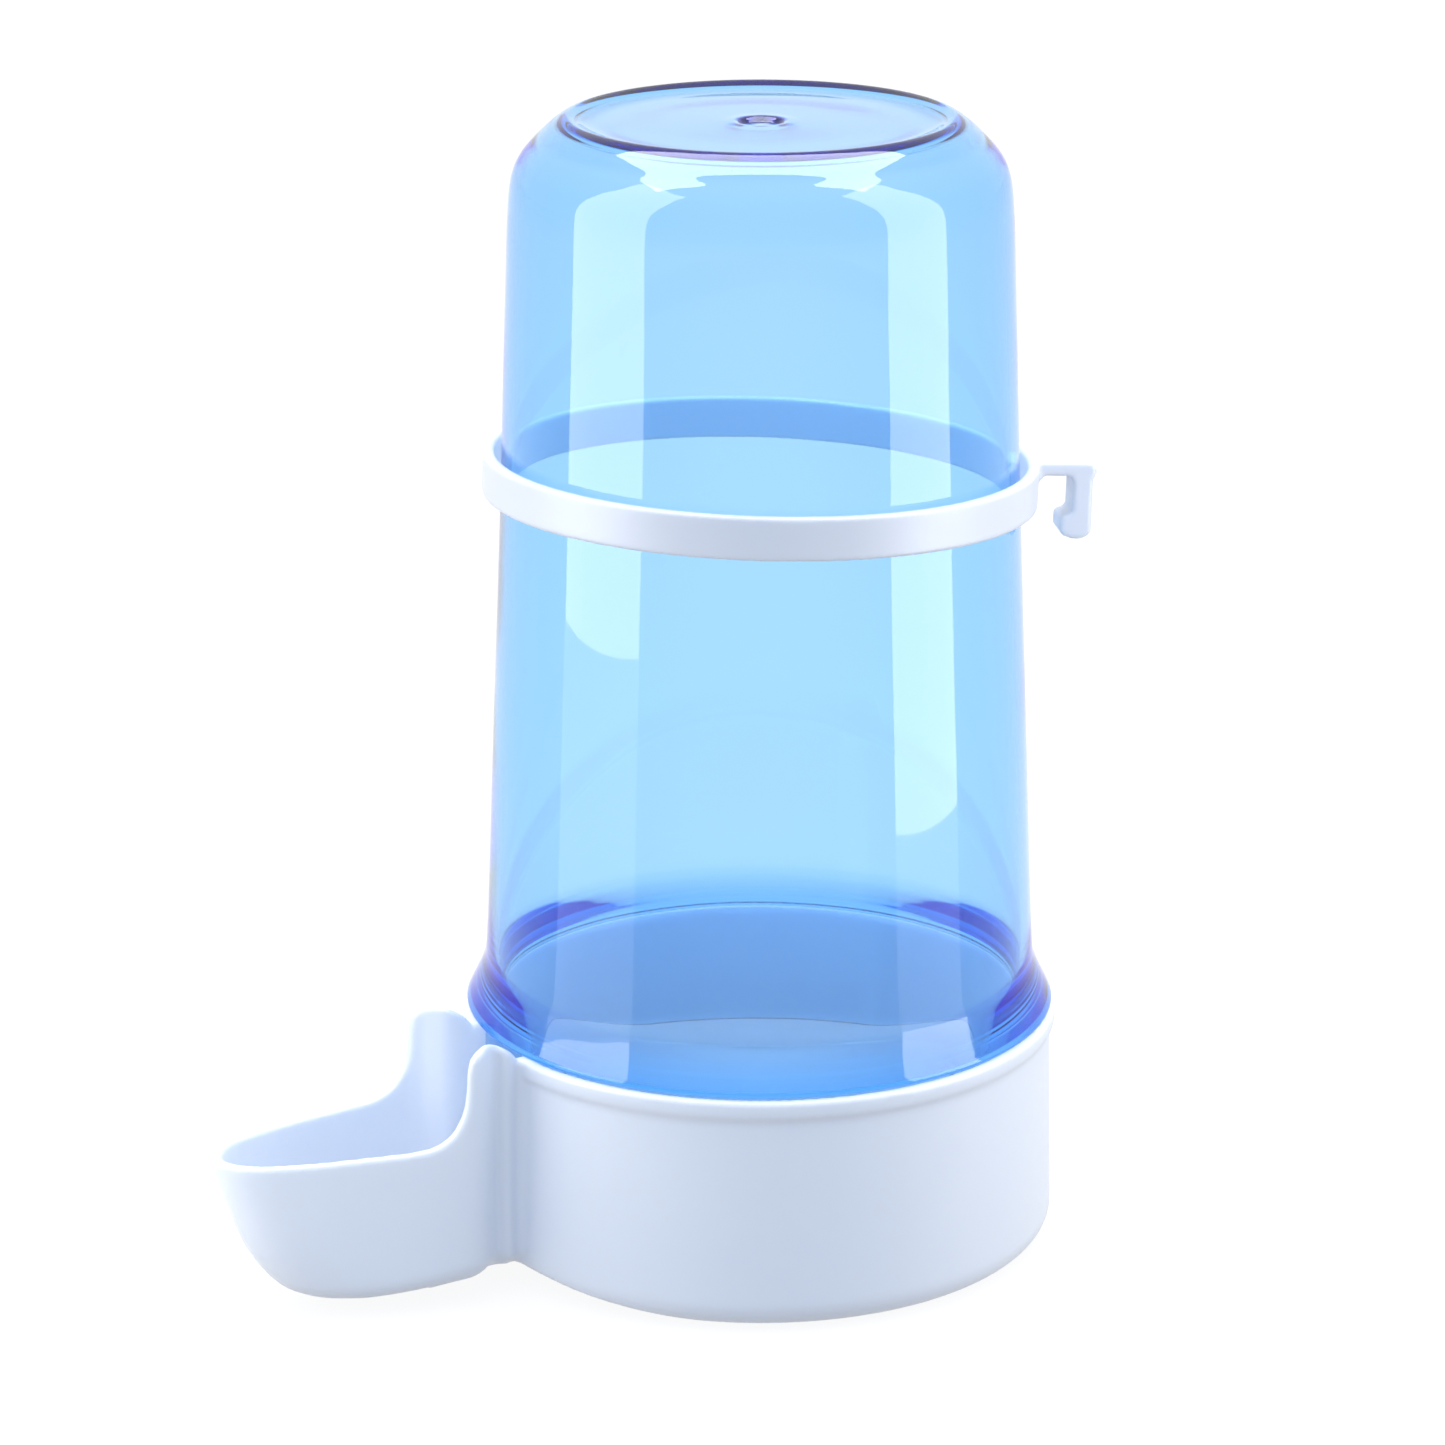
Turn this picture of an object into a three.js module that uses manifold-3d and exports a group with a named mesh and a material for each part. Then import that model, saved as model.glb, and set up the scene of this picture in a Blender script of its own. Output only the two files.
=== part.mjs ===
// Gravity-fed cage drinker: a clear blue water tank standing mouth down in a
// white cup with a drinking trough, and a white ring with a hook round the tank.
//
// Millimetres, +Z up. The origin is the centre of the flat underside of the cup.
// The trough points along -X. Three one-piece mouldings, three solids.

import * as THREE from 'three';
import * as BufferGeometryUtils from 'three/addons/utils/BufferGeometryUtils.js';
import Module from 'manifold-3d';

// ---------------------------------------------------------------- dimensions
const TURNS = 64;              // facets round every turned surface
const WALL = 1.3;              // moulded wall of the tank

// cup
const CUP_R = 37.15;           // outside of the cup wall under the rim band
const CUP_LOW_R = 37.6;        // outside of the cup wall near the bottom
const CUP_RIM_R = 37.75;       // outside of the rim band
const CUP_RIM_Z = 30.2;        // top of the rim, where the tank collar rests
const CUP_BAND_Z = 27.7;       // underside of the rim band
const CUP_FOOT_R = 3.5;        // rounded bottom edge
const CUP_INNER_R = 36.05;     // inside of the cup wall
const CUP_FLOOR = 1.5;         // thickness of the floor

// trough, measured outwards from the axis of the cup (s) and sideways (l)
const TROUGH_TIP = 75.15;      // outermost point of the lip
const TROUGH_RIM_Z = 21.2;     // height of the lip
const TROUGH_HALF = 10.1;      // half width outside, at its widest
const TROUGH_WALL = 1.3;
const TROUGH_Z = 2.5;          // underside of the trough beside the cup, clear of the table
const TROUGH_DROP = 1.1;       // how much lower the trough's belly hangs
const TROUGH_FLOOR = 4.0;      // floor of the trough inside
const TROUGH_BEND = 50;        // beyond here the hull draws in towards the tip
const EAR_Z = 32.95;           // top of the trough walls beside the cup rim
const RAMP_S = 22;             // the flat rest face ends here on the trough side

// tank
const COLLAR_R = 37.3;         // bead that rests on the cup rim
const LEDGE_Z = 30.5;          // underside of the bead
const SKIRT_Z = 13.2;          // mouth of the tank, which sets the water level
const TOP_Z = 144.15;          // crest of the shoulder

// ring and hook, in the ring's own frame: bottom of the band at z = 0
const RING_INNER_R = 33.05;
const RING_OUTER_R = 34.5;
const RING_H = 5.3;
const RING_Z = 96.4;           // height of the band's bottom edge on the axis
const RING_TILT = 2.4;         // degrees the ring leans on the taper
const LOW_SIDE = 18;           // direction of its low side, degrees from +X
const HOOK_TURN = -20;         // direction of the hook, degrees from +X
const HOOK_W = 5.5;
const HOOK_END = 41.9;         // outer end of the arm
const LEG_INNER = 39.0;
const LEG_OUTER = 41.5;
const ARM_TOP = 4.8;
const ARM_UNDER = 3.1;
const LEG_BOTTOM = -5.0;
const TOE = 37.55;             // inner face of the toe

// ------------------------------------------------------------------- helpers
const wasm = await Module();
wasm.setup();

const v2 = (points) => points.map(([x, y]) => new THREE.Vector2(x, y));

// a profile of [radius, height] pairs turned about Z
function turned(profile, turns = TURNS) {
  const g = new THREE.LatheGeometry(v2(profile), turns);
  g.rotateX(Math.PI / 2);
  return g;
}

// a plan outline of [x, y] pairs raised from z0 to z1
function raised(outline, z0, z1, steps = 1) {
  const g = new THREE.ExtrudeGeometry(new THREE.Shape(v2(outline)), { depth: z1 - z0, steps, bevelEnabled: false });
  g.translate(0, 0, z0);
  return g;
}

// a side outline of [x, z] pairs carried across Y from -half to +half
function across(outline, half) {
  const g = new THREE.ExtrudeGeometry(new THREE.Shape(v2(outline)), { depth: 2 * half, bevelEnabled: false });
  g.rotateX(Math.PI / 2);
  g.translate(0, half, 0);
  return g;
}

function clean(geometry) {
  const g = geometry.clone();
  for (const name of Object.keys(g.attributes)) if (name !== 'position') g.deleteAttribute(name);
  const merged = BufferGeometryUtils.mergeVertices(g, 1e-4);
  const index = [];
  for (let i = 0; i < merged.index.count; i += 3) {
    const [a, b, c] = [merged.index.getX(i), merged.index.getX(i + 1), merged.index.getX(i + 2)];
    if (a !== b && b !== c && c !== a) index.push(a, b, c);
  }
  merged.setIndex(index);
  return merged;
}

function solid(geometry) {
  const g = clean(geometry);
  return new wasm.Manifold(new wasm.Mesh({
    numProp: 3,
    vertProperties: new Float32Array(g.attributes.position.array),
    triVerts: new Uint32Array(g.index.array),
  }));
}

function geometryOf(manifold) {
  const mesh = manifold.getMesh();
  const g = new THREE.BufferGeometry();
  g.setAttribute('position', new THREE.BufferAttribute(new Float32Array(mesh.vertProperties), 3));
  g.setIndex(new THREE.BufferAttribute(new Uint32Array(mesh.triVerts), 1));
  g.computeVertexNormals();
  return g;
}

// points of a smooth curve through [x, y] pairs
function smooth(points, count) {
  const curve = new THREE.CatmullRomCurve3(points.map(([x, y]) => new THREE.Vector3(x, y, 0)), false, 'centripetal');
  return curve.getSpacedPoints(count).map((p) => [p.x, p.y]);
}

// height table lookup with straight lines between its rows
function table(rows, at) {
  if (at <= rows[0][0]) return rows[0][1];
  for (let i = 1; i < rows.length; i++) {
    if (at <= rows[i][0]) {
      const t = (at - rows[i - 1][0]) / (rows[i][0] - rows[i - 1][0]);
      return rows[i - 1][1] + t * (rows[i][1] - rows[i - 1][1]);
    }
  }
  return rows[rows.length - 1][1];
}

// ---------------------------------------------------------------------- tank
// One wall from the gate mark on the closed end, over the shoulder, down the
// tapered side to the collar and the skirt, and back up the inside.
const tankProfile = [
  // outside, from the axis
  [0, 142.95], [1.1, 142.95], [1.5, 142.75], [2.3, 142.8], [2.8, 143.4],
  [12, 143.25], [21.9, 142.85], [22.5, 143.05], [22.95, 143.85], [23.4, TOP_Z],
  [24.3, 143.85], [25.4, 143.15], [26.5, 142.25], [27.5, 141.25], [28.4, 140.35], [29.3, 139.3],
  [30.0, 138.1], [30.45, 136.8], [30.75, 135.0], [30.95, 132.6], [31.1, 129.9], [32.5, 91.4],
  [34.75, 39.0], [34.95, 36.4], [35.5, 34.9], [36.2, 33.3], [36.85, 32.0], [37.2, 31.2],
  [COLLAR_R, 30.8], [37.05, LEDGE_Z], [35.2, LEDGE_Z], [35.6, 14.2], [35.4, SKIRT_Z + 0.1],
  // mouth and inside
  [35.1, SKIRT_Z], [34.65, SKIRT_Z], [34.4, 13.7], [33.8, 30.5], [33.45, 38],
  [31.2, 91.4], [29.8, 129.9], [29.6, 133], [29.3, 135.2], [28.9, 137.0], [28.2, 138.4],
  [27.2, 139.6], [26.2, 140.7], [25.2, 141.65], [24.3, 142.2], [23.6, 142.3], [22.9, 141.7], [22.1, 141.5],
  [12, 141.85], [0, 141.9],
];
const tankGeometry = turned(tankProfile.slice().reverse());

// ----------------------------------------------------------------------- cup
const a45 = Math.SQRT1_2;
const cupBody = solid(turned([
  [0, CUP_RIM_Z], [CUP_RIM_R - 0.6, CUP_RIM_Z], [CUP_RIM_R - 0.15, CUP_RIM_Z - 0.25], [CUP_RIM_R, CUP_RIM_Z - 0.8],
  [CUP_RIM_R, CUP_BAND_Z + 0.5], [CUP_R, CUP_BAND_Z], [CUP_R, CUP_BAND_Z - 2], [CUP_LOW_R, CUP_FOOT_R],
  [CUP_LOW_R - CUP_FOOT_R * 0.076, CUP_FOOT_R * 0.617], [CUP_LOW_R - CUP_FOOT_R * (1 - a45), CUP_FOOT_R * (1 - a45)],
  [CUP_LOW_R - CUP_FOOT_R * 0.617, CUP_FOOT_R * 0.076], [CUP_LOW_R - CUP_FOOT_R, 0], [0, 0],
].reverse()));
const cupHollow = solid(turned([
  [0, 45], [CUP_INNER_R + 0.45, 45], [CUP_INNER_R + 0.45, CUP_RIM_Z], [CUP_INNER_R, CUP_RIM_Z - 0.9],
  [CUP_INNER_R, CUP_FLOOR + 2.0], [CUP_INNER_R - 0.59, CUP_FLOOR + 0.59], [CUP_INNER_R - 2.0, CUP_FLOOR], [0, CUP_FLOOR],
].reverse()));

// Half of the trough's plan, from inside the cup out to the tip: two shallow
// flutes with a ridge between them, then the side that draws in to the lip.
const outerHalf = [
  ...smooth([[35.0, 8.6], [36.2, 8.25], [37.0, 7.85], [37.7, 7.65], [38.4, 7.9], [39.05, 8.15], [39.6, 7.85],
    [40.3, 7.5], [41.1, 7.9], [42.0, 8.75], [43.2, 9.55], [44.6, 10.0]], 24),
  ...smooth([[47, TROUGH_HALF], [52, 9.8], [57, 9.05], [60.5, 8.45], [64, 7.8], [67.5, 6.85], [69.5, 6.2], [71.3, 5.4],
    [73, 4.25], [74, 3.2], [74.7, 2.1], [75.05, 1.0], [TROUGH_TIP, 0]], 20),
];
const innerHalf = [
  ...smooth([[33, 6.6], [35.2, 6.45], [37.4, 6.3], [39.4, 6.25], [41.0, 6.55], [42.2, 7.3], [43.4, 8.1], [44.8, 8.6]], 14),
  ...smooth([[47, 8.8], [52, 8.5], [57, 7.75], [60.5, 7.15], [64, 6.5], [67, 5.65], [69, 5.0], [70.8, 4.15],
    [72.2, 3.1], [73, 2.2], [73.6, 1.1], [TROUGH_TIP - TROUGH_WALL, 0]], 16),
];
const fullPlan = (half) => {
  const tip = half[half.length - 1];
  const side = half.slice(0, -1);
  return [...side.map(([s, l]) => [-s, -l]), [-tip[0], 0], ...side.slice().reverse().map(([s, l]) => [-s, l])];
};

// How far the tip reaches at each height, outside and inside: a ladle shape.
const tipOutside = [[2.5, 62.4], [2.7, 64.0], [3.2, 65.3], [4.2, 66.8], [5.5, 68.1], [7.2, 69.5], [9.2, 70.8],
  [12, 72.1], [15, 73.2], [18, 74.2], [TROUGH_RIM_Z, TROUGH_TIP]];
const tipInside = [[4.0, 62.0], [4.3, 63.5], [5.0, 64.8], [6.2, 66.2], [7.8, 67.5], [9.6, 68.8], [12.2, 70.3],
  [15, 71.6], [18, 72.7], [TROUGH_RIM_Z, TROUGH_TIP - TROUGH_WALL]];

// A raised plan, level by level: the far end follows one of those tables, the
// sides draw in at the bottom levels to round the lower corner, and the lower
// levels sag towards the tip.
function hull(outline, levels, tips, widestTip, insets) {
  const g = clean(raised(outline, 0, levels.length - 1, levels.length - 1));
  const p = g.attributes.position;
  for (let i = 0; i < p.count; i++) {
    const z = levels[Math.round(p.getZ(i))];
    const s = -p.getX(i);
    const reach = (table(tips, z) - TROUGH_BEND) / (widestTip - TROUGH_BEND);
    const narrow = 1 - table(insets, z) / TROUGH_HALF;
    const out = s > TROUGH_BEND ? TROUGH_BEND + (s - TROUGH_BEND) * reach : s;
    const along = THREE.MathUtils.smoothstep(out, 45, 59);
    const low = THREE.MathUtils.clamp((15 - z) / 11, 0, 1);
    p.setXYZ(i, -out, p.getY(i) * narrow, z - TROUGH_DROP * along * low);
  }
  return g;
}
const outerInset = [[2.5, 3.0], [2.7, 1.92], [3.2, 1.07], [4.2, 0.30], [5.5, 0]];
const innerInset = [[4.0, 2.0], [4.3, 0.95], [5.0, 0.27], [6.2, 0]];
const outerHull = solid(hull(fullPlan(outerHalf), [TROUGH_Z, 2.7, 3.2, 4.2, 5.5, 7.2, 9.2, 12, 15, 18, TROUGH_RIM_Z, 36],
  tipOutside, TROUGH_TIP, outerInset));
const innerHull = solid(hull(fullPlan(innerHalf), [TROUGH_FLOOR, 4.3, 5.0, 6.2, 7.8, 9.6, 12.2, 15, 18, TROUGH_RIM_Z, 46],
  tipInside, TROUGH_TIP - TROUGH_WALL, innerInset));

// Everything under the top edge of the trough walls: level at the lip, then an
// S-shaped sweep up to the ears beside the rim.
const topEdge = smooth([[52.5, TROUGH_RIM_Z], [49.6, 21.45], [47.4, 22.5], [46.2, 23.9], [45.3, 25.8], [44.9, 28.2],
  [44.7, 30.6], [44.35, 31.9], [43.6, 32.6], [42.6, EAR_Z], [41.5, EAR_Z], [40.2, 32.6], [38.8, 31.8], [37.9, 31.1], [37.6, 30.7]], 34);
const underTopEdge = solid(across([
  [-80, -2], [-30, -2], [-30, CUP_RIM_Z], [-37.2, CUP_RIM_Z],
  ...topEdge.slice().reverse().map(([s, z]) => [-s, z]), [-80, TROUGH_RIM_Z],
], 15));

// The underside lifts from the flat rest face to the underside of the trough.
const ramp = solid(across([
  [-RAMP_S, -3], [-RAMP_S, 0], [-23, 0.1], [-26, 0.5], [-28.9, 0.95], [-31.4, 1.35], [-33.5, 1.75], [-35, 2.15], [-36.5, TROUGH_Z],
  [-40, TROUGH_Z], [-40, -3],
].reverse(), 45));

const rampFloor = solid(across([
  [-RAMP_S + 1, -1], [-RAMP_S + 1, CUP_FLOOR], [-23, CUP_FLOOR + 0.1], [-26, CUP_FLOOR + 0.5], [-28.9, CUP_FLOOR + 0.95],
  [-31.4, CUP_FLOOR + 1.35], [-33.5, CUP_FLOOR + 1.75], [-35, CUP_FLOOR + 2.15], [-36.5, TROUGH_FLOOR],
  [-42, TROUGH_FLOOR], [-42, -1],
].reverse(), 45));
const base = cupBody.subtract(cupHollow.subtract(rampFloor))
  .add(outerHull.intersect(underTopEdge).subtract(cupHollow))
  .subtract(innerHull).subtract(ramp);
const baseGeometry = geometryOf(base);

// ---------------------------------------------------------------------- ring
const c = 0.35; // rounded edges of the band
const band = solid(turned([
  [RING_INNER_R + c * 0.6, 0], [RING_OUTER_R - c, 0], [RING_OUTER_R, c], [RING_OUTER_R, RING_H - c], [RING_OUTER_R - c, RING_H],
  [RING_INNER_R + c * 0.6, RING_H], [RING_INNER_R, RING_H - c * 0.6], [RING_INNER_R, c * 0.6], [RING_INNER_R + c * 0.6, 0],
]));

// The hook seen from the side: an arm out from the band, a leg down and a toe
// that turns in under the wire.
const root = RING_OUTER_R - 0.9;
const hookOutline = [
  [root, ARM_TOP], [root, 1.7], [RING_OUTER_R - 0.1, 1.7], [RING_OUTER_R + 0.25, 2.45], [RING_OUTER_R + 0.95, ARM_UNDER],
  [LEG_INNER - 0.9, ARM_UNDER], [LEG_INNER - 0.25, ARM_UNDER - 0.3], [LEG_INNER, ARM_UNDER - 1.0],
  [LEG_INNER, LEG_BOTTOM + 3.7], [LEG_INNER - 0.35, LEG_BOTTOM + 3.2], [TOE + 0.35, LEG_BOTTOM + 2.95],
  [TOE, LEG_BOTTOM + 2.5], [TOE, LEG_BOTTOM + 1.0], [TOE + 0.45, LEG_BOTTOM + 0.45],
  [TOE + 1.5, LEG_BOTTOM + 0.08], [TOE + 2.4, LEG_BOTTOM], [LEG_OUTER - 0.6, LEG_BOTTOM + 0.3], [LEG_OUTER, LEG_BOTTOM + 1.0],
  [LEG_OUTER, ARM_UNDER - 0.5], [HOOK_END, ARM_UNDER + 0.4], [HOOK_END, ARM_TOP - 0.7],
  [HOOK_END - 0.2, ARM_TOP - 0.2], [HOOK_END - 0.7, ARM_TOP],
];
const hook = solid(across(hookOutline, HOOK_W / 2));
const bore = solid(turned([[0, -20], [RING_INNER_R + 0.4, -20], [RING_INNER_R + 0.4, 20], [0, 20]]));
const ringGeometry = geometryOf(band.add(hook.subtract(bore)));

// ------------------------------------------------------------------ assembly
const clearBlue = new THREE.MeshStandardMaterial({ name: 'clear_blue', color: 0x9fd6fb, roughness: 0.06, metalness: 0, transparent: true, opacity: 0.45 });
const whiteBase = new THREE.MeshStandardMaterial({ name: 'white_base', color: 0xdfe6f5, roughness: 0.42, metalness: 0 });
const whiteRing = new THREE.MeshStandardMaterial({ name: 'white_ring', color: 0xe6e9f6, roughness: 0.42, metalness: 0 });

const drinker = new THREE.Group();

const drinkingBase = new THREE.Mesh(baseGeometry, whiteBase);
drinkingBase.name = 'drinking_base';
drinker.add(drinkingBase);

const waterTank = new THREE.Mesh(tankGeometry, clearBlue);
waterTank.name = 'water_tank';
drinker.add(waterTank);

// The ring sits a little askew on the taper.
const ringPlace = new THREE.Group();
ringPlace.position.z = RING_Z + RING_H / 2;
ringPlace.rotation.z = THREE.MathUtils.degToRad(LOW_SIDE);
const ringTilt = new THREE.Group();
ringTilt.rotation.y = THREE.MathUtils.degToRad(RING_TILT);
const hangingRing = new THREE.Mesh(ringGeometry, whiteRing);
hangingRing.name = 'hanging_ring';
hangingRing.position.z = -RING_H / 2;
hangingRing.rotation.z = THREE.MathUtils.degToRad(HOOK_TURN - LOW_SIDE);
ringTilt.add(hangingRing);
ringPlace.add(ringTilt);
drinker.add(ringPlace);

export default drinker;
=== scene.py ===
import math
import bpy
import numpy as np
from mathutils import Vector, Matrix


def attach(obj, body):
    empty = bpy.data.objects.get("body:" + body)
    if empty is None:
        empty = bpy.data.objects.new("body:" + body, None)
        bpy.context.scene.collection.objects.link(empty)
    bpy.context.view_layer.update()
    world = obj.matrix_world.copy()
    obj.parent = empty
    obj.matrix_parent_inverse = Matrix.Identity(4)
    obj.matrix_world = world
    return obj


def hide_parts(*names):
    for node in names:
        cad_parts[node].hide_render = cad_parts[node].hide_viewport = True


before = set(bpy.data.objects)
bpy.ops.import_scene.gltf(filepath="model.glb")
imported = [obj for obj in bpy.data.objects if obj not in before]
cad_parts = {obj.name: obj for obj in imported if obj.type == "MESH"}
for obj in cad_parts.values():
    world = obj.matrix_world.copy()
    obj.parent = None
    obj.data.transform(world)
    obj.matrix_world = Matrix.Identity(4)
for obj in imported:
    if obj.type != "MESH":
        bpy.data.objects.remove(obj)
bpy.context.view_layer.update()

scene = bpy.context.scene
MM = 0.001

# ============================================================ small helpers


def smooth(points, per=6):
    """Centripetal Catmull-Rom through 2-D points."""
    p = np.array(points, float)
    ext = np.vstack([2 * p[0] - p[1], p, 2 * p[-1] - p[-2]])
    out = []
    for i in range(1, len(ext) - 2):
        p0, p1, p2, p3 = ext[i - 1], ext[i], ext[i + 1], ext[i + 2]
        t0 = 0.0
        t1 = t0 + max(np.linalg.norm(p1 - p0), 1e-6) ** 0.5
        t2 = t1 + max(np.linalg.norm(p2 - p1), 1e-6) ** 0.5
        t3 = t2 + max(np.linalg.norm(p3 - p2), 1e-6) ** 0.5
        for k in range(per):
            t = t1 + (t2 - t1) * k / per
            a1 = (t1 - t) / (t1 - t0) * p0 + (t - t0) / (t1 - t0) * p1
            a2 = (t2 - t) / (t2 - t1) * p1 + (t - t1) / (t2 - t1) * p2
            a3 = (t3 - t) / (t3 - t2) * p2 + (t - t2) / (t3 - t2) * p3
            b1 = (t2 - t) / (t2 - t0) * a1 + (t - t0) / (t2 - t0) * a2
            b2 = (t3 - t) / (t3 - t1) * a2 + (t - t1) / (t3 - t1) * a3
            out.append((t2 - t) / (t2 - t1) * b1 + (t - t1) / (t2 - t1) * b2)
    out.append(p[-1])
    return [tuple(q) for q in out]


def arc(cx, cy, r, a0, a1, n=6):
    return [(cx + r * math.cos(math.radians(a0 + (a1 - a0) * i / n)),
             cy + r * math.sin(math.radians(a0 + (a1 - a0) * i / n))) for i in range(n + 1)]


class Field:
    """Signed distance to a closed 2-D outline, negative inside, from a table."""

    def __init__(self, outline, x0, x1, y0, y1, step=0.1):
        self.x0, self.y0, self.step = x0, y0, step
        xs = np.arange(x0, x1 + step, step)
        ys = np.arange(y0, y1 + step, step)
        X, Y = np.meshgrid(xs, ys, indexing="ij")
        p = np.array(outline, float)
        q = np.roll(p, -1, axis=0)
        best = np.full(X.shape, 1e9)
        inside = np.zeros(X.shape, bool)
        for (ax, ay), (bx, by) in zip(p, q):
            dx, dy = bx - ax, by - ay
            length2 = dx * dx + dy * dy
            if length2 < 1e-12:
                continue
            t = np.clip(((X - ax) * dx + (Y - ay) * dy) / length2, 0, 1)
            best = np.minimum(best, (X - ax - t * dx) ** 2 + (Y - ay - t * dy) ** 2)
            if ay != by:
                cross = ((ay > Y) != (by > Y)) & (X < dx * (Y - ay) / (by - ay) + ax)
                inside ^= cross
        self.t = np.sqrt(best) * np.where(inside, -1, 1)
        self.n = self.t.shape

    def __call__(self, x, y):
        u = np.clip((x - self.x0) / self.step, 0, self.n[0] - 1.001)
        v = np.clip((y - self.y0) / self.step, 0, self.n[1] - 1.001)
        i, j = u.astype(np.int32), v.astype(np.int32)
        u, v = u - i, v - j
        t = self.t
        return ((t[i, j] * (1 - u) + t[i + 1, j] * u) * (1 - v)
                + (t[i, j + 1] * (1 - u) + t[i + 1, j + 1] * u) * v)


def smax(a, b, k):
    h = np.maximum(k - np.abs(a - b), 0) / k
    return np.maximum(a, b) + h * h * k * 0.25


def smin(a, b, k):
    return -smax(-a, -b, k)


def round_max(a, b, r):
    """Both of a and b, with a round edge of radius r where they meet."""
    return (np.hypot(np.maximum(a + r, 0), np.maximum(b + r, 0)) - r
            + np.minimum(np.maximum(a + r, b + r), 0))


def nets(fn, lo, hi, h, refine=3):
    """A quad mesh of the surface fn = 0 inside a box, by surface nets, then pulled onto the surface."""
    ax = [np.arange(lo[i], hi[i] + h, h) for i in range(3)]
    F = np.empty([len(a) for a in ax], np.float32)
    for i0 in range(0, len(ax[0]), 24):
        X, Y, Z = np.meshgrid(ax[0][i0:i0 + 24], ax[1], ax[2], indexing="ij")
        F[i0:i0 + 24] = fn(X, Y, Z)
    S = F < 0
    n = np.zeros([k - 1 for k in F.shape], np.int8)
    for a in (0, 1):
        for b in (0, 1):
            for c in (0, 1):
                n += S[a:n.shape[0] + a, b:n.shape[1] + b, c:n.shape[2] + c]
    active = (n > 0) & (n < 8)
    cells = np.argwhere(active)
    index = np.full(active.shape, -1, np.int64)
    index[active] = np.arange(len(cells))
    pos = np.zeros((len(cells), 3))
    cnt = np.zeros(len(cells))
    corner = [(a, b, c) for a in (0, 1) for b in (0, 1) for c in (0, 1)]
    for a in corner:
        for b in corner:
            if sum(abs(i - j) for i, j in zip(a, b)) != 1 or a > b:
                continue
            fa = F[cells[:, 0] + a[0], cells[:, 1] + a[1], cells[:, 2] + a[2]]
            fb = F[cells[:, 0] + b[0], cells[:, 1] + b[1], cells[:, 2] + b[2]]
            m = (fa < 0) != (fb < 0)
            t = np.where(m, fa / np.where(m, fa - fb, 1), 0)
            pos += m[:, None] * (np.array(a) + t[:, None] * (np.array(b) - np.array(a)))
            cnt += m
    P = (cells + pos / cnt[:, None]) * h + np.array(lo)
    quads = []
    for axis in range(3):
        o = [i for i in range(3) if i != axis]
        a = [slice(None)] * 3
        b = [slice(None)] * 3
        a[axis], b[axis] = slice(0, -1), slice(1, None)
        change = S[tuple(a)] != S[tuple(b)]
        e = np.argwhere(change)
        keep = (e[:, o[0]] > 0) & (e[:, o[1]] > 0) & (e[:, o[0]] < F.shape[o[0]] - 1) & (e[:, o[1]] < F.shape[o[1]] - 1)
        e = e[keep]
        first = S[e[:, 0], e[:, 1], e[:, 2]]
        ring = []
        for d0, d1 in ((-1, -1), (0, -1), (0, 0), (-1, 0)):
            c = e.copy()
            c[:, o[0]] += d0
            c[:, o[1]] += d1
            ring.append(index[c[:, 0], c[:, 1], c[:, 2]])
        q = np.stack(ring, 1)
        flip = first if axis != 1 else ~first
        q[~flip] = q[~flip][:, ::-1]
        quads.append(q)
    Q = np.vstack(quads)
    # relax a little along the surface, and pull back onto it
    edges = np.vstack([Q[:, [0, 1]], Q[:, [1, 2]], Q[:, [2, 3]], Q[:, [3, 0]]])
    both = np.vstack([edges, edges[:, ::-1]])
    deg = np.bincount(both[:, 0], minlength=len(P))[:, None]
    for it in range(refine):
        mean = np.stack([np.bincount(both[:, 0], weights=P[both[:, 1], k], minlength=len(P)) for k in range(3)], 1) / deg
        P = P + 0.5 * (mean - P)
        for pull in range(2):
            e = 0.03
            f = fn(P[:, 0], P[:, 1], P[:, 2])
            g = np.stack([
                fn(P[:, 0] + e, P[:, 1], P[:, 2]) - fn(P[:, 0] - e, P[:, 1], P[:, 2]),
                fn(P[:, 0], P[:, 1] + e, P[:, 2]) - fn(P[:, 0], P[:, 1] - e, P[:, 2]),
                fn(P[:, 0], P[:, 1], P[:, 2] + e) - fn(P[:, 0], P[:, 1], P[:, 2] - e)], 1) / (2 * e)
            g2 = np.maximum((g * g).sum(1), 0.05)
            step = np.clip(f / np.sqrt(g2), -0.3 * h, 0.3 * h)
            P = P - (step / np.sqrt(g2))[:, None] * g
    return P, Q


def make_mesh(name, verts_mm, faces, smooth_shade=True):
    me = bpy.data.meshes.new(name)
    v = (np.asarray(verts_mm, float) * MM).astype(np.float32)
    f = np.asarray(faces, np.int32)
    me.vertices.add(len(v))
    me.vertices.foreach_set("co", v.ravel())
    me.loops.add(f.size)
    me.loops.foreach_set("vertex_index", f.ravel())
    me.polygons.add(len(f))
    me.polygons.foreach_set("loop_start", np.arange(0, f.size, f.shape[1], dtype=np.int32))
    me.polygons.foreach_set("loop_total", np.full(len(f), f.shape[1], np.int32))
    me.update(calc_edges=True)
    me.validate()
    if smooth_shade:
        me.polygons.foreach_set("use_smooth", np.ones(len(me.polygons), bool))
    ob = bpy.data.objects.new(name, me)
    scene.collection.objects.link(ob)
    return ob


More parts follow.
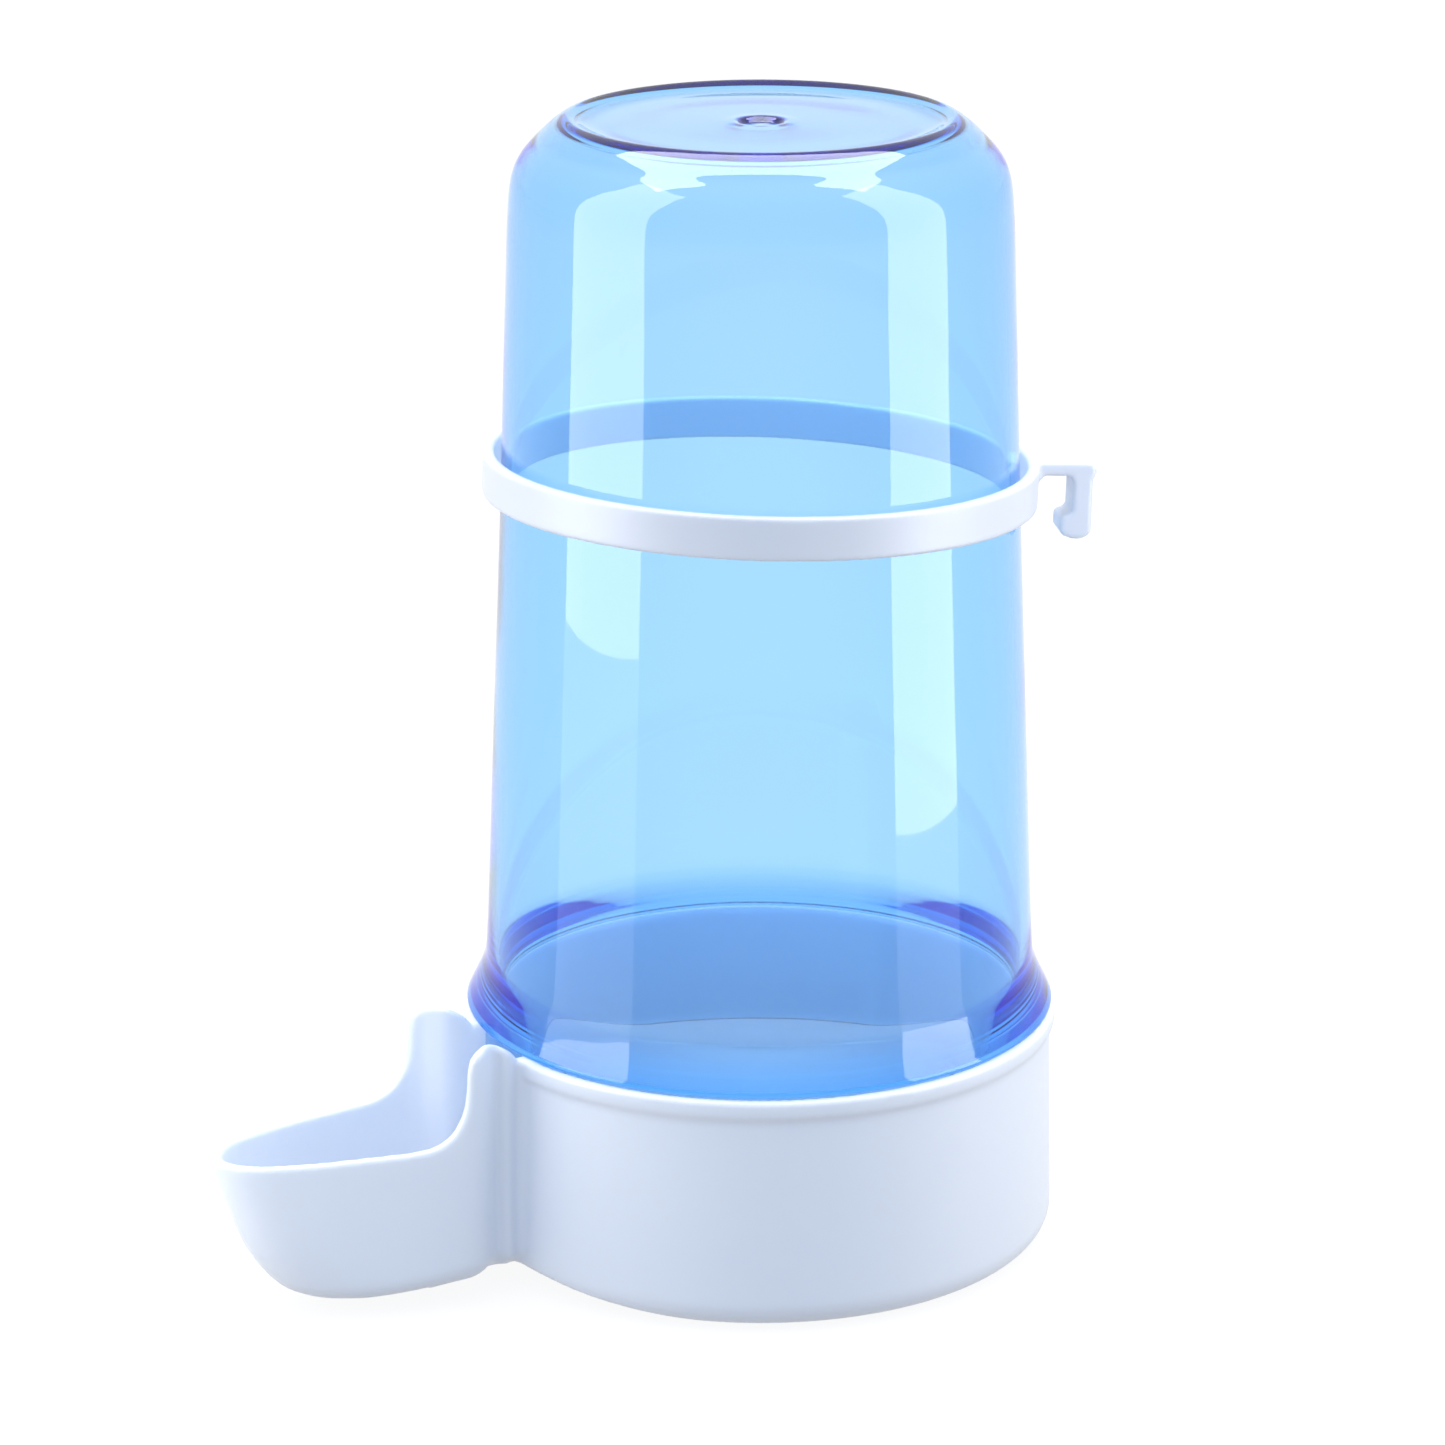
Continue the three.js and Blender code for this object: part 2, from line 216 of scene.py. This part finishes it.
def lathe_mesh(name, profile, turns):
    """A closed profile of (r, z) pairs turned about Z. Points with r = 0 close on the axis."""
    prof = [(max(r, 0.0), z) for r, z in profile]
    verts, rows = [], []
    for r, z in prof:
        if r < 1e-6:
            rows.append([len(verts)])
            verts.append((0, 0, z))
        else:
            rows.append(list(range(len(verts), len(verts) + turns)))
            for k in range(turns):
                a = 2 * math.pi * k / turns
                verts.append((r * math.cos(a), r * math.sin(a), z))
    faces = []
    for i in range(len(rows) - 1):
        a, b = rows[i], rows[i + 1]
        if len(a) == 1 and len(b) == 1:
            continue
        for k in range(turns):
            n = (k + 1) % turns
            if len(a) == 1:
                faces.append((a[0], b[k], b[n]))
            elif len(b) == 1:
                faces.append((a[k], b[0], a[n]))
            else:
                faces.append((a[k], b[k], b[n], a[n]))
    me = bpy.data.meshes.new(name)
    me.from_pydata([tuple(c * MM for c in v) for v in verts], [], faces)
    me.update()
    me.polygons.foreach_set("use_smooth", np.ones(len(me.polygons), bool))
    ob = bpy.data.objects.new(name, me)
    scene.collection.objects.link(ob)
    return ob


# ================================================================= the tank
# outside from the axis to the ledge, the skirt, and back up the inside
outer_top = smooth([(0, 142.95), (0.7, 142.95), (1.15, 142.9), (1.55, 142.74), (2.2, 142.78), (2.62, 143.15), (2.95, 143.38),
                    (5, 143.36), (12, 143.26), (17.5, 143.16), (20.3, 143.2), (21.6, 143.46), (22.5, 143.83), (23.1, 144.05),
                    (23.6, 144.1), (24.3, 143.87), (25.4, 143.17), (26.5, 142.27), (27.5, 141.27), (28.4, 140.35),
                    (29.3, 139.25), (30.0, 138.05), (30.45, 136.75), (30.75, 135.0), (30.95, 132.6), (31.1, 129.9)], 5)
side = smooth([(31.1, 129.9), (31.8, 110.6), (32.5, 91.4), (33.6, 65.2), (34.7, 39.2), (34.95, 36.6), (35.45, 35.0),
               (36.15, 33.35), (36.8, 32.0), (37.15, 31.3), (37.3, 30.88), (37.2, 30.58), (36.9, 30.5)], 7)
skirt = [(35.45, 30.5), (35.25, 30.4), (35.22, 30.1), (35.58, 14.2), (35.5, 13.7), (35.3, 13.35), (35.0, 13.2),
         (34.75, 13.22), (34.5, 13.4), (34.42, 13.8)]
inside = smooth([(34.42, 13.8), (34.1, 22), (33.8, 30.3), (33.6, 34), (33.45, 38.2), (32.3, 65.2), (31.2, 91.4),
                 (30.5, 110.6), (29.8, 129.9), (29.62, 133), (29.35, 135.2), (28.9, 137.0), (28.2, 138.45),
                 (27.2, 139.75), (26.2, 140.8), (25.2, 141.62), (24.5, 142.15), (23.8, 142.45), (23.0, 142.42), (22.0, 142.12),
                 (20.5, 141.86), (18, 141.74), (12, 141.86), (5, 141.92), (0, 141.95)], 5)
profile = outer_top + side[1:] + skirt + inside[1:]
tank = lathe_mesh("tank_shell", profile, 224)

# ============================================================ cup and trough
CUP_FLOOR, RIM_Z, BAND_Z = 1.5, 30.2, 27.7
FOOT_R, LOW_R, CUP_R, RIM_R, INNER_R = 3.5, 37.6, 37.15, 37.75, 36.05

cup_out = ([(0, RIM_Z)] + arc(RIM_R - 0.6, RIM_Z - 0.6, 0.6, 90, 0, 8) + [(RIM_R, BAND_Z + 0.75)]
           + smooth([(RIM_R, BAND_Z + 0.75), (RIM_R - 0.08, BAND_Z + 0.4), (CUP_R + 0.2, BAND_Z - 0.05), (CUP_R + 0.02, BAND_Z - 0.45),
                     (CUP_R, BAND_Z - 1.2)], 4)
           + arc(LOW_R - FOOT_R, FOOT_R, FOOT_R, 0, -90, 12) + [(0, 0)])
cup_in = [(0, 45), (INNER_R + 0.45, 45), (INNER_R + 0.45, RIM_Z), (INNER_R, RIM_Z - 0.9)] + arc(INNER_R - 2, CUP_FLOOR + 2, 2, 0, -90, 8) + [(0, CUP_FLOOR)]
f_cup = Field(cup_out, -0.5, 80, -4, 50)
f_hollow = Field(cup_in, -0.5, 80, -4, 50)

outer_half = (smooth([(35.0, 8.6), (36.2, 8.25), (37.0, 7.85), (37.7, 7.65), (38.4, 7.9), (39.05, 8.15), (39.6, 7.85), (40.3, 7.5),
                      (41.1, 7.9), (42.0, 8.75), (43.2, 9.55), (44.6, 10.0), (47, 10.1), (52, 9.8), (57, 9.05), (60.5, 8.45),
                      (64, 7.8), (67.5, 6.85), (69.5, 6.2), (71.3, 5.4), (73, 4.25), (74, 3.2), (74.7, 2.1), (75.05, 1.0),
                      (75.15, 0)], 5))
inner_half = (smooth([(33, 6.6), (35.2, 6.45), (37.4, 6.3), (39.4, 6.25), (41.0, 6.55), (42.2, 7.3), (43.4, 8.1), (44.8, 8.6),
                      (47, 8.8), (52, 8.5), (57, 7.75), (60.5, 7.15), (64, 6.5), (67, 5.65), (69, 5.0), (70.8, 4.15),
                      (72.2, 3.1), (73, 2.2), (73.6, 1.1), (73.85, 0)], 5))
def whole(half):
    return [(s, l) for s, l in half] + [(s, -l) for s, l in half[::-1][1:]]
f_outer_plan = Field(whole(outer_half), 26, 80, -18, 18)
f_inner_plan = Field(whole(inner_half), 26, 80, -18, 18)

tip_out = np.array([(2.5, 62.4), (2.7, 64.0), (3.2, 65.3), (4.2, 66.8), (5.5, 68.1), (7.2, 69.5), (9.2, 70.8), (12, 72.1), (15, 73.2),
                    (18, 74.2), (21.2, 75.15), (40, 80)])
tip_in = np.array([(4.0, 62.0), (4.3, 63.5), (5.0, 64.8), (6.2, 66.2), (7.8, 67.5), (9.6, 68.8), (12.2, 70.3), (15, 71.6), (18, 72.7),
                   (21.2, 73.85), (40, 79)])

top_edge = smooth([(52.5, 21.2), (49.6, 21.45), (47.4, 22.5), (46.2, 23.9), (45.3, 25.8), (44.9, 28.2), (44.7, 30.6), (44.35, 31.9),
                   (43.6, 32.6), (42.6, 32.95), (41.5, 32.95), (40.2, 32.6), (38.8, 31.8), (37.9, 31.1), (37.6, 30.7)], 5)
f_under = Field([(90, -6), (30, -6), (30, RIM_Z), (37.2, RIM_Z)] + top_edge[::-1] + [(90, 21.2)], 26, 82, -4, 38)
ramp_line = [(22, 0), (23, 0.1), (26, 0.5), (28.9, 0.95), (31.4, 1.35), (33.5, 1.75), (35, 2.15), (36.5, 2.5), (40, 2.5)]
f_ramp = Field([(20, -6), (20, -0.02)] + ramp_line + [(40, -6)], -2, 82, -4, 10)
f_rise = Field([(21, -6), (21, CUP_FLOOR - 0.02), (22.5, CUP_FLOOR + 0.05)] + [(s, z + CUP_FLOOR) for s, z in ramp_line[1:-2]]
               + [(36.5, 4.0), (44, 4.0), (44, -6)], -2, 82, -4, 12)


def level(s, z, drop=1.1):
    """The height before the trough's belly sags."""
    t = np.clip((s - 45) / 14, 0, 1)
    d = drop * t * t * (3 - 2 * t)
    lo = z + d
    mid = (z + d * 15 / 11) / (1 + d / 11)
    return np.where(lo <= 4, lo, np.where(mid < 15, mid, z))


def hull(s, l, z, plan, tips, tip_max, z0, r):
    zz = level(s, z)
    tip = np.interp(zz, tips[:, 0], tips[:, 1])
    tip = np.minimum(tip, tip_max)
    reach = (tip - 50) / (tip_max - 50)
    s0 = np.where(s > 50, 50 + (s - 50) / reach, s)
    side_d = plan(s0, l)
    scale = np.where(s > 50, np.clip(reach + 0.25, 0.6, 1.0), 1.0)
    return round_max(side_d * scale, z0 - zz, r)


def base_field(X, Y, Z):
    R = np.hypot(X, Y)
    S, L = -X, Y
    cup = f_cup(R, Z)
    hollow = f_hollow(R, Z)
    near = (S > 18)
    hollow2 = hollow.copy()
    hollow2[near] = smax(hollow[near], -f_rise(S[near], Z[near]), 0.6)
    body = smax(cup, -hollow2, 0.35)
    near = (S > 27) & (np.abs(L) < 16)
    if near.any():
        s, l, z = S[near], L[near], Z[near]
        outer = hull(s, l, z, f_outer_plan, tip_out, 75.15, 2.5, 3.0)
        wall = smax(outer, f_under(s, z), 0.55)
        wall = smax(wall, -hollow[near], 0.35)
        b = smin(body[near], wall, 0.6)
        inner = hull(s, l, z, f_inner_plan, tip_in, 73.85, 4.0, 2.0)
        b = smax(b, -inner, 0.6)
        body[near] = b
    near = (S > 18) & (Z < 8)
    if near.any():
        body[near] = smax(body[near], -f_ramp(S[near], Z[near]), 0.5)
    return body


P, Q = nets(base_field, (-76.6, -39.2, -1.2), (39.2, 39.2, 34.4), 0.5)
base = make_mesh("cup_with_trough", P, Q)

# ================================================================== the ring
RING_IN, RING_OUT, RING_H = 33.05, 34.5, 5.3
ARM_TOP, ARM_UNDER, LEG_IN, LEG_OUT, HOOK_END, LEG_BOTTOM, TOE = 4.8, 3.1, 39.0, 41.5, 41.9, -5.0, 37.55
HOOK_W = 5.5
root = RING_OUT - 0.9
hook_outline = [(root, ARM_TOP), (root, 1.7), (RING_OUT - 0.1, 1.7), (RING_OUT + 0.25, 2.45), (RING_OUT + 0.95, ARM_UNDER),
                (LEG_IN - 0.9, ARM_UNDER), (LEG_IN - 0.25, ARM_UNDER - 0.3), (LEG_IN, ARM_UNDER - 1.0),
                (LEG_IN, LEG_BOTTOM + 3.7), (LEG_IN - 0.35, LEG_BOTTOM + 3.2), (TOE + 0.35, LEG_BOTTOM + 2.95),
                (TOE, LEG_BOTTOM + 2.5), (TOE, LEG_BOTTOM + 1.0), (TOE + 0.45, LEG_BOTTOM + 0.45),
                (TOE + 1.5, LEG_BOTTOM + 0.08), (TOE + 2.4, LEG_BOTTOM), (LEG_OUT - 0.6, LEG_BOTTOM + 0.3), (LEG_OUT, LEG_BOTTOM + 1.0),
                (LEG_OUT, ARM_UNDER - 0.5), (HOOK_END, ARM_UNDER + 0.4), (HOOK_END, ARM_TOP - 0.7), (HOOK_END - 0.2, ARM_TOP - 0.2),
                (HOOK_END - 0.7, ARM_TOP)]
f_hook = Field(hook_outline, 28, 46, -9, 10, 0.05)
f_band = Field([(RING_IN, 0), (RING_OUT, 0), (RING_OUT, RING_H), (RING_IN, RING_H)], 26, 46, -9, 10, 0.05)


def ring_field(X, Y, Z):
    R = np.hypot(X, Y)
    # rounded rectangle: a smaller rectangle, grown
    rr = 0.4
    dx = np.abs(R - (RING_IN + RING_OUT) / 2) - (RING_OUT - RING_IN) / 2 + rr
    dz = np.abs(Z - RING_H / 2) - RING_H / 2 + rr
    band = np.hypot(np.maximum(dx, 0), np.maximum(dz, 0)) + np.minimum(np.maximum(dx, dz), 0) - rr
    near = (X > 29) & (np.abs(Y) < 6)
    if near.any():
        h = round_max(f_hook(X[near], Z[near]), np.abs(Y[near]) - HOOK_W / 2, 0.35)
        h = smax(h, RING_IN + 0.45 - R[near], 0.2)
        band[near] = smin(band[near], h, 0.5)
    return band


P, Q = nets(ring_field, (-35.6, -35.6, -6.2), (43.2, 35.6, 6.6), 0.36)
RING_Z, RING_TILT, LOW_SIDE, HOOK_TURN = 96.4, 2.4, 18, -20
place = (Matrix.Translation((0, 0, (RING_Z + RING_H / 2))) @ Matrix.Rotation(math.radians(LOW_SIDE), 4, "Z")
         @ Matrix.Rotation(math.radians(RING_TILT), 4, "Y") @ Matrix.Translation((0, 0, -RING_H / 2))
         @ Matrix.Rotation(math.radians(HOOK_TURN - LOW_SIDE), 4, "Z"))
M = np.array(place)
P = P @ M[:3, :3].T + M[:3, 3]
ring = make_mesh("band_with_hook", P, Q)

for ob, node, body, slot in ((tank, "water_tank", "tank", "tank_clear_blue"), (base, "drinking_base", "base", "base_white"),
                             (ring, "hanging_ring", "ring", "ring_white")):
    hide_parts(node)
    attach(ob, body)

# ================================================================= materials


def node_material(name):
    m = bpy.data.materials.new(name)
    m.use_nodes = True
    nt = m.node_tree
    bsdf = nt.nodes["Principled BSDF"]
    return m, nt, bsdf


def noise(nt, scale, detail, rough=0.5, coord=None):
    n = nt.nodes.new("ShaderNodeTexNoise")
    n.inputs["Scale"].default_value = scale
    n.inputs["Detail"].default_value = detail
    n.inputs["Roughness"].default_value = rough
    nt.links.new(coord.outputs["Object"], n.inputs["Vector"])
    return n


def ramp(nt, source, a, b, p0=0.35, p1=0.65):
    r = nt.nodes.new("ShaderNodeMapRange")
    r.inputs["From Min"].default_value = p0
    r.inputs["From Max"].default_value = p1
    r.inputs["To Min"].default_value = a
    r.inputs["To Max"].default_value = b
    nt.links.new(source, r.inputs["Value"])
    return r


def white_plastic(name, color, dark, roughness=0.4):
    m, nt, b = node_material(name)
    tc = nt.nodes.new("ShaderNodeTexCoord")
    flow = noise(nt, 38, 4, 0.55, tc)
    fine = noise(nt, 900, 3, 0.6, tc)
    grain = noise(nt, 3800, 2, 0.5, tc)
    mix = nt.nodes.new("ShaderNodeMix")
    mix.data_type = "RGBA"
    mix.inputs["A"].default_value = (*dark, 1)
    mix.inputs["B"].default_value = (*color, 1)
    r = ramp(nt, flow.outputs["Fac"], 0, 1)
    nt.links.new(r.outputs["Result"], mix.inputs["Factor"])
    nt.links.new(mix.outputs["Result"], b.inputs["Base Color"])
    rr = ramp(nt, fine.outputs["Fac"], roughness - 0.05, roughness + 0.07)
    nt.links.new(rr.outputs["Result"], b.inputs["Roughness"])
    b.inputs["IOR"].default_value = 1.49
    b.inputs["Subsurface Weight"].default_value = 0.18
    b.inputs["Subsurface Radius"].default_value = (1.0, 1.1, 1.3)
    b.inputs["Subsurface Scale"].default_value = 0.0012
    bump = nt.nodes.new("ShaderNodeBump")
    bump.inputs["Strength"].default_value = 0.25
    bump.inputs["Distance"].default_value = 0.00003
    nt.links.new(grain.outputs["Fac"], bump.inputs["Height"])
    bump2 = nt.nodes.new("ShaderNodeBump")
    bump2.inputs["Strength"].default_value = 0.3
    bump2.inputs["Distance"].default_value = 0.00012
    nt.links.new(flow.outputs["Fac"], bump2.inputs["Height"])
    nt.links.new(bump.outputs["Normal"], bump2.inputs["Normal"])
    nt.links.new(bump2.outputs["Normal"], b.inputs["Normal"])
    return m


base.data.materials.append(white_plastic("plastic_cup", (0.745, 0.785, 0.86), (0.73, 0.77, 0.85)))
ring.data.materials.append(white_plastic("plastic_ring", (0.68, 0.715, 0.79), (0.665, 0.70, 0.78)))

m, nt, b = node_material("clear_blue_tank")
tc = nt.nodes.new("ShaderNodeTexCoord")
b.inputs["Base Color"].default_value = (1, 1, 1, 1)
b.inputs["Transmission Weight"].default_value = 1.0
b.inputs["IOR"].default_value = 1.5
wave = noise(nt, 22, 2, 0.5, tc)
fine = noise(nt, 700, 3, 0.6, tc)
rr = ramp(nt, fine.outputs["Fac"], 0.012, 0.04)
nt.links.new(rr.outputs["Result"], b.inputs["Roughness"])
bump = nt.nodes.new("ShaderNodeBump")
bump.inputs["Strength"].default_value = 0.5
bump.inputs["Distance"].default_value = 0.0004
nt.links.new(wave.outputs["Fac"], bump.inputs["Height"])
nt.links.new(bump.outputs["Normal"], b.inputs["Normal"])
vol = nt.nodes.new("ShaderNodeVolumeAbsorption")
vol.inputs["Color"].default_value = (0.0, 0.62, 0.97, 1)
vol.inputs["Density"].default_value = 400
out = nt.nodes["Material Output"]
nt.links.new(vol.outputs["Volume"], out.inputs["Volume"])
tank.data.materials.append(m)
# light reaches the cup and the ring through the clear wall
tank.visible_shadow = False

# ============================================================ stage and light
sx = 5.0
floor = make_mesh("studio_floor", [(-sx * 1000, -sx * 1000, -0.3), (sx * 1000, -sx * 1000, -0.3), (sx * 1000, sx * 1000, -0.3), (-sx * 1000, sx * 1000, -0.3)],
                  [(0, 1, 2, 3)], False)
floor.visible_diffuse = False     # light from below comes from the lower half of the world, which is softer
m, nt, b = node_material("pale_floor")
b.inputs["Base Color"].default_value = (0.15, 0.15, 0.15, 1)
b.inputs["Roughness"].default_value = 0.9
b.inputs["Specular IOR Level"].default_value = 0.0
b.inputs["Emission Color"].default_value = (1, 1, 1, 1)
b.inputs["Emission Strength"].default_value = 0.87
floor.data.materials.append(m)

toward = Vector((-0.4540, -0.8910, 0))      # from the object to the camera, level
right = Vector((0.8910, -0.4540, 0))


def area(name, loc, target, w, h, radiance, color=(1, 1, 1)):
    l = bpy.data.lights.new(name, "AREA")
    l.shape = "RECTANGLE"
    l.size, l.size_y = w, h
    l.energy = radiance * math.pi * w * h
    l.color = color
    o = bpy.data.objects.new(name, l)
    o.location = loc
    o.rotation_mode = "QUATERNION"
    o.rotation_quaternion = (Vector(target) - Vector(loc)).to_track_quat("-Z", "Y")
    scene.collection.objects.link(o)
    o.visible_camera = False
    o.visible_transmission = False     # not seen through the clear tank from behind
    return o


def strip(name, angle, dist, w, h, z0, radiance):
    a = math.radians(angle)
    p = toward * math.cos(a) * dist + right * math.sin(a) * dist
    z = z0 + h / 2
    return area(name, (p.x, p.y, z), (0, 0, z), w, h, radiance)


# each side has a tall strip and a weaker one low down, where the reflections fade out
strip("strip_left", -65, 0.13, 0.086, 0.27, 0.06, 1.0)
strip("strip_left_low", -65, 0.13, 0.086, 0.056, 0.004, 1.1)
strip("strip_right", 67, 0.13, 0.070, 0.296, 0.034, 1.5)
strip("strip_right_low", 67, 0.13, 0.070, 0.030, 0.004, 1.0)
for s in (strip("sheen_left", -65, 0.131, 0.086, 0.27, 0.06, 3.6), strip("sheen_right", 67, 0.131, 0.070, 0.296, 0.034, 3.3)):
    s.visible_diffuse = False
strip("fill_left", -60, 0.14, 0.12, 0.06, 0.004, 0.9).visible_glossy = False
top = -toward * 0.17
area("softbox_top", (top.x, top.y, 0.52), (0, 0, 0.1), 0.50, 0.50, 2.9).visible_glossy = False
top = -toward * 0.06
sheen = area("sheen_top", (top.x, top.y, 0.54), (0, 0, 0.1), 0.56, 0.30, 8.0)
sheen.visible_diffuse = False

w = bpy.data.worlds.new("studio")
scene.world = w
w.use_nodes = True
nt = w.node_tree
bg = nt.nodes["Background"]
tc = nt.nodes.new("ShaderNodeTexCoord")
# bright behind, overhead and low down, dim on the side the strips frame
dot = nt.nodes.new("ShaderNodeVectorMath")
dot.operation = "DOT_PRODUCT"
dot.inputs[1].default_value = (-0.4540, -0.8910, 0.0)
nt.links.new(tc.outputs["Generated"], dot.inputs[0])
mr = nt.nodes.new("ShaderNodeMapRange")
mr.interpolation_type = "SMOOTHSTEP"
mr.inputs["From Min"].default_value = -0.1
mr.inputs["From Max"].default_value = 0.8
nt.links.new(dot.outputs["Value"], mr.inputs["Value"])
sky = nt.nodes.new("ShaderNodeMix")
sky.data_type = "RGBA"
sky.inputs["A"].default_value = (1.12, 1.12, 1.12, 1)
sky.inputs["B"].default_value = (0.66, 0.80, 1.0, 1)
nt.links.new(mr.outputs["Result"], sky.inputs["Factor"])
sep = nt.nodes.new("ShaderNodeSeparateXYZ")
nt.links.new(tc.outputs["Generated"], sep.inputs["Vector"])
low = nt.nodes.new("ShaderNodeMapRange")
low.inputs["From Min"].default_value = 0.0
low.inputs["From Max"].default_value = -0.12
nt.links.new(sep.outputs["Z"], low.inputs["Value"])
ground = nt.nodes.new("ShaderNodeMix")
ground.data_type = "RGBA"
ground.inputs["B"].default_value = (0.5, 0.5, 0.5, 1)
nt.links.new(low.outputs["Result"], ground.inputs["Factor"])
nt.links.new(sky.outputs["Result"], ground.inputs["A"])
nt.links.new(ground.outputs["Result"], bg.inputs["Color"])
bg.inputs["Strength"].default_value = 1.0

scene.view_settings.view_transform = "Standard"
scene.view_settings.look = "None"
# the thick ledge and crest pass light round inside the wall many times
scene.cycles.max_bounces = 32
scene.cycles.glossy_bounces = 24
scene.cycles.transmission_bounces = 24

# =================================================================== camera
cam_data = bpy.data.cameras.new("camera")
cam = bpy.data.objects.new("camera", cam_data)
scene.collection.objects.link(cam)
cam.location = (-0.287376, -0.564007, 0.265400)
cam.rotation_mode = "QUATERNION"
cam.rotation_quaternion = Vector((0.426854, 0.853300, -0.299457)).to_track_quat("-Z", "Y")
cam_data.sensor_width = 36
cam_data.lens = 36 * 5270 / 1445
cam_data.clip_start, cam_data.clip_end = 0.01, 50
cam_data.dof.use_dof = False
scene.camera = cam
